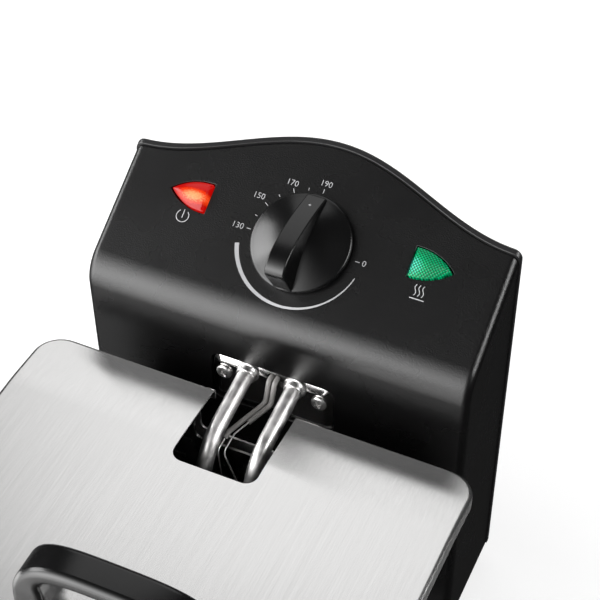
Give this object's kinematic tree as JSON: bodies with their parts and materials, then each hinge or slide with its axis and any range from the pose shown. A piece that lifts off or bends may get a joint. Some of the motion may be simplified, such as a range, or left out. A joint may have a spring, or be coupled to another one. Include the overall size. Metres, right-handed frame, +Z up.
{
  "type": "deep fryer",
  "caption": "Electric deep fryer with a lift-off control head and heating element, steel oil pot, frying basket with pull-off handle and flat steel lid.",
  "frame": {"origin": "on the table, under the middle of the whole object", "axes": "+X to the right seen from the front, +Y back towards the control head, +Z up"},
  "size_m": [0.2366, 0.494, 0.2389],
  "materials": {
    "textured_black": "fine-textured black moulding with a satin sheen",
    "smooth_black": "smooth satin black moulding",
    "brushed_steel": "brushed stainless steel sheet, lines running front to back on the lid",
    "polished_steel": "polished stainless steel",
    "element_steel": "satin drawn stainless tube",
    "wire_steel": "bright plated wire",
    "rubber": "black rubber",
    "silicone": "light grey silicone sleeve",
    "red_lens": "clear red moulding, lit from behind",
    "green_lens": "clear green moulding with a prism pattern",
    "lamp_glass": "clear neon lamp glass",
    "switch_plastic": "dark phenolic moulding",
    "terminal_plastic": "natural nylon",
    "brass": "turned brass",
    "lead_brown": "brown wire insulation",
    "lead_blue": "blue wire insulation",
    "lead_earth": "green and yellow wire insulation",
    "reset_red": "red button moulding"
  },
  "bodies": {
    "housing": {"outer_housing": "brushed_steel", "base_plate": "textured_black", "foot_front_left": "rubber", "foot_front_right": "rubber", "foot_rear_left": "rubber", "foot_rear_right": "rubber", "carry_handle_left": "smooth_black", "carry_handle_right": "smooth_black", "guide_rail_left": "textured_black", "guide_rail_right": "textured_black", "switch_finger": "textured_black"},
    "pot": {"oil_pot": "brushed_steel"},
    "head": {"front_shell": "textured_black", "rear_cover": "textured_black", "head_runner_left": "textured_black", "head_runner_right": "textured_black", "cover_screw_low_left": "polished_steel", "cover_screw_low_right": "polished_steel", "cover_screw_high_left": "polished_steel", "cover_screw_high_right": "polished_steel", "heating_element": "element_steel", "element_plate": "polished_steel", "plate_gasket": "rubber", "element_bush_left": "polished_steel", "element_bush_right": "polished_steel", "plate_screw_left": "polished_steel", "plate_screw_right": "polished_steel", "thermostat_capillary": "silicone", "cutout_capillary": "silicone", "thermostat_bulb": "element_steel", "cutout_bulb": "element_steel", "bulb_clip": "element_steel", "cord_gland": "smooth_black", "terminal_block": "terminal_plastic", "cutout_body": "switch_plastic", "safety_switch": "switch_plastic", "live_lead": "lead_brown", "neutral_lead": "lead_blue", "earth_lead": "lead_earth", "thermostat_body": "switch_plastic", "power_lens": "red_lens", "ready_lens": "green_lens", "power_lamp": "lamp_glass", "ready_lamp": "lamp_glass"},
    "knob": {"control_knob": "smooth_black", "thermostat_shaft": "brass"},
    "reset": {"reset_button": "reset_red"},
    "plunger": {"switch_plunger": "switch_plastic"},
    "lid": {"lid_panel": "brushed_steel", "lid_handle": "smooth_black", "lid_screw_left": "polished_steel", "lid_screw_right": "polished_steel"},
    "basket": {"frying_basket": "wire_steel", "basket_rim": "wire_steel", "basket_bracket": "polished_steel"},
    "basket_handle": {"handle_wire": "wire_steel", "handle_grip": "smooth_black"}
  },
  "joints": [
    {"name": "lid_lift", "type": "slide", "parent": "housing", "child": "lid", "axis": [0, 0, 1], "range_m": [0, 0.56]},
    {"name": "basket_lift", "type": "slide", "parent": "housing", "child": "basket", "axis": [0, 0, 1], "range_m": [0, 0.42]},
    {"name": "head_lift", "type": "slide", "parent": "housing", "child": "head", "axis": [0, 0, 1], "range_m": [0, 0.28]},
    {"name": "pot_lift", "type": "slide", "parent": "housing", "child": "pot", "axis": [0, 0, 1], "range_m": [0, 0.14]},
    {"name": "knob_turn", "type": "hinge", "parent": "head", "child": "knob", "pos_m": [0, 0.1936, 0.212], "axis": [0, -0.4909, 0.8712], "range_deg": [0, 270]},
    {"name": "reset_press", "type": "slide", "parent": "head", "child": "reset", "axis": [0, -1, 0], "range_m": [0, 0.0018], "stiffness_N_per_m": 300, "springref_m": -0.003},
    {"name": "plunger_press", "type": "slide", "parent": "head", "child": "plunger", "axis": [0, 1, 0], "range_m": [0, 0.0012], "stiffness_N_per_m": 200, "springref_m": -0.003},
    {"name": "handle_pull", "type": "slide", "parent": "basket", "child": "basket_handle", "axis": [0, -1, 0], "range_m": [0, 0.06]}
  ],
  "couplings": [
    {"joint": "basket_lift", "follows": "lid_lift", "ratio": 0.75},
    {"joint": "head_lift", "follows": "lid_lift", "ratio": 0.5},
    {"joint": "pot_lift", "follows": "lid_lift", "ratio": 0.25}
  ]
}
